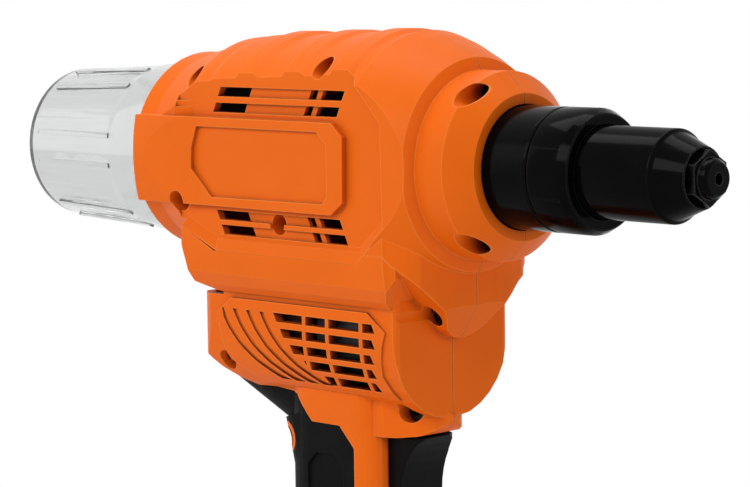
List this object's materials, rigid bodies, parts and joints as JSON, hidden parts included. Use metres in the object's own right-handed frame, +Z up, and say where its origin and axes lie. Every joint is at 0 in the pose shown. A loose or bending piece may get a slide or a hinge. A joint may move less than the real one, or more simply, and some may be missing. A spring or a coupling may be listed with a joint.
{
  "type": "battery rivet tool",
  "caption": "Pistol-shaped battery rivet puller with a stepped barrel, black nose, clear collector cup at the rear, vented motor housing, trigger grip and slide-on battery pack.",
  "frame": {"origin": "centre of the battery's flat resting face", "axes": "+X out of the nose, +Z up, +Y to the tool's left"},
  "size_m": [0.2831, 0.074, 0.2808],
  "materials": {
    "orange_shell": "moulded, fine grain",
    "grip_rubber": "soft, matt",
    "black_nose": "gloss black oxide",
    "dark_steel": "blackened",
    "bare_steel": "ground",
    "die_cast": "as cast",
    "clear_cup": "clear",
    "black_plastic": "moulded",
    "seal_rubber": "smooth",
    "copper_core": "wound",
    "board_green": "lacquered",
    "cell_wrap": "shrink wrap",
    "holder_plastic": "moulded"
  },
  "bodies": {
    "housing": {"right_shell": "orange_shell", "left_shell": "orange_shell", "right_grip_cover": "grip_rubber", "left_grip_cover": "grip_rubber", "housing_screws": "dark_steel", "nose_adapter": "black_nose", "lock_ring": "black_nose", "tip_sleeve": "black_nose", "nosepiece": "black_nose", "front_bearing": "bare_steel", "rear_bearing": "bare_steel", "gear_case": "die_cast", "gear_case_cover": "die_cast", "idler_pin": "bare_steel", "guide_housing": "die_cast", "ring_gear": "bare_steel", "motor_plate": "die_cast", "motor_bearing": "bare_steel", "motor_stator": "copper_core", "rear_motor_bearing": "bare_steel", "switch_module": "black_plastic", "control_board": "board_green", "terminal_block": "black_plastic"},
    "screw": {"ball_screw": "bare_steel", "guide_studs": "bare_steel", "mandrel_tube": "bare_steel", "jaw_case": "bare_steel", "jaw_spring": "bare_steel"},
    "jaw_1": {"jaw_1": "bare_steel"},
    "jaw_2": {"jaw_2": "bare_steel"},
    "jaw_3": {"jaw_3": "bare_steel"},
    "pusher": {"jaw_pusher": "bare_steel"},
    "nut": {"ball_nut": "bare_steel", "nut_gear": "bare_steel"},
    "idler": {"idler_gear": "bare_steel"},
    "carrier": {"planet_carrier": "bare_steel"},
    "planet_1": {"planet_1": "bare_steel"},
    "planet_2": {"planet_2": "bare_steel"},
    "planet_3": {"planet_3": "bare_steel"},
    "rotor": {"motor_rotor": "bare_steel", "motor_fan": "black_plastic"},
    "trigger": {"trigger": "black_plastic"},
    "collector": {"collector": "clear_cup", "collector_seal": "seal_rubber"},
    "battery": {"battery_lower_case": "black_plastic", "battery_upper_case": "black_plastic", "battery_cells": "cell_wrap", "cell_holders": "holder_plastic", "battery_board": "board_green", "battery_screws": "dark_steel"},
    "release": {"release_button": "black_plastic"}
  },
  "joints": [
    {"name": "rotor_spin", "type": "hinge", "parent": "housing", "child": "rotor", "pos_m": [-0.036, 0, 0.187], "axis": [1, 0, 0], "range_deg": [0, 30001]},
    {"name": "nut_spin", "type": "hinge", "parent": "housing", "child": "nut", "pos_m": [0.011, 0, 0.24], "axis": [1, 0, 0], "range_deg": [0, 1801]},
    {"name": "idler_spin", "type": "hinge", "parent": "housing", "child": "idler", "pos_m": [0.016, 0, 0.2065], "axis": [1, 0, 0], "range_deg": [-2668, 0]},
    {"name": "carrier_spin", "type": "hinge", "parent": "housing", "child": "carrier", "pos_m": [0.005, 0, 0.187], "axis": [1, 0, 0], "range_deg": [0, 6001]},
    {"name": "planet_1_spin", "type": "hinge", "parent": "carrier", "child": "planet_1", "pos_m": [-0.001, 0.0105, 0.187], "axis": [1, 0, 0], "range_deg": [-16001, 0]},
    {"name": "planet_2_spin", "type": "hinge", "parent": "carrier", "child": "planet_2", "pos_m": [-0.001, -0.00525, 0.19609], "axis": [1, 0, 0], "range_deg": [-16001, 0]},
    {"name": "planet_3_spin", "type": "hinge", "parent": "carrier", "child": "planet_3", "pos_m": [-0.001, -0.00525, 0.17791], "axis": [1, 0, 0], "range_deg": [-16001, 0]},
    {"name": "screw_slide", "type": "slide", "parent": "housing", "child": "screw", "axis": [-1, 0, 0], "range_m": [0, 0.025]},
    {"name": "jaw_1_slide", "type": "slide", "parent": "screw", "child": "jaw_1", "axis": [0.9675, 0, -0.253], "range_m": [0, 0.0013]},
    {"name": "jaw_2_slide", "type": "slide", "parent": "screw", "child": "jaw_2", "axis": [0.9675, 0.2191, 0.1265], "range_m": [0, 0.0013]},
    {"name": "jaw_3_slide", "type": "slide", "parent": "screw", "child": "jaw_3", "axis": [0.9675, -0.2191, 0.1265], "range_m": [0, 0.0013]},
    {"name": "pusher_slide", "type": "slide", "parent": "screw", "child": "pusher", "axis": [1, 0, 0], "range_m": [0, 0.0013], "deforming": ["jaw_spring"]},
    {"name": "trigger_pull", "type": "slide", "parent": "housing", "child": "trigger", "axis": [-1, 0, 0], "range_m": [0, 0.007], "stiffness_N_per_m": 700, "springref_m": -0.004},
    {"name": "collector_pull", "type": "slide", "parent": "housing", "child": "collector", "axis": [-1, 0, 0], "range_m": [0, 0.06]},
    {"name": "battery_slide", "type": "slide", "parent": "housing", "child": "battery", "axis": [1, 0, 0], "range_m": [0, 0.105]},
    {"name": "release_press", "type": "slide", "parent": "battery", "child": "release", "axis": [0, 0, -1], "range_m": [0, 0.004], "stiffness_N_per_m": 500, "springref_m": -0.004}
  ],
  "couplings": [
    {"joint": "nut_spin", "follows": "screw_slide", "rad_per_m": 1256.6},
    {"joint": "idler_spin", "follows": "screw_slide", "rad_per_m": -1861.7},
    {"joint": "carrier_spin", "follows": "screw_slide", "rad_per_m": 4188.8},
    {"joint": "rotor_spin", "follows": "screw_slide", "rad_per_m": 20944},
    {"joint": "planet_1_spin", "follows": "screw_slide", "rad_per_m": -11170},
    {"joint": "planet_2_spin", "follows": "screw_slide", "rad_per_m": -11170},
    {"joint": "planet_3_spin", "follows": "screw_slide", "rad_per_m": -11170},
    {"joint": "jaw_2_slide", "follows": "jaw_1_slide", "ratio": 1},
    {"joint": "jaw_3_slide", "follows": "jaw_1_slide", "ratio": 1},
    {"joint": "pusher_slide", "follows": "jaw_1_slide", "ratio": 0.96746}
  ]
}
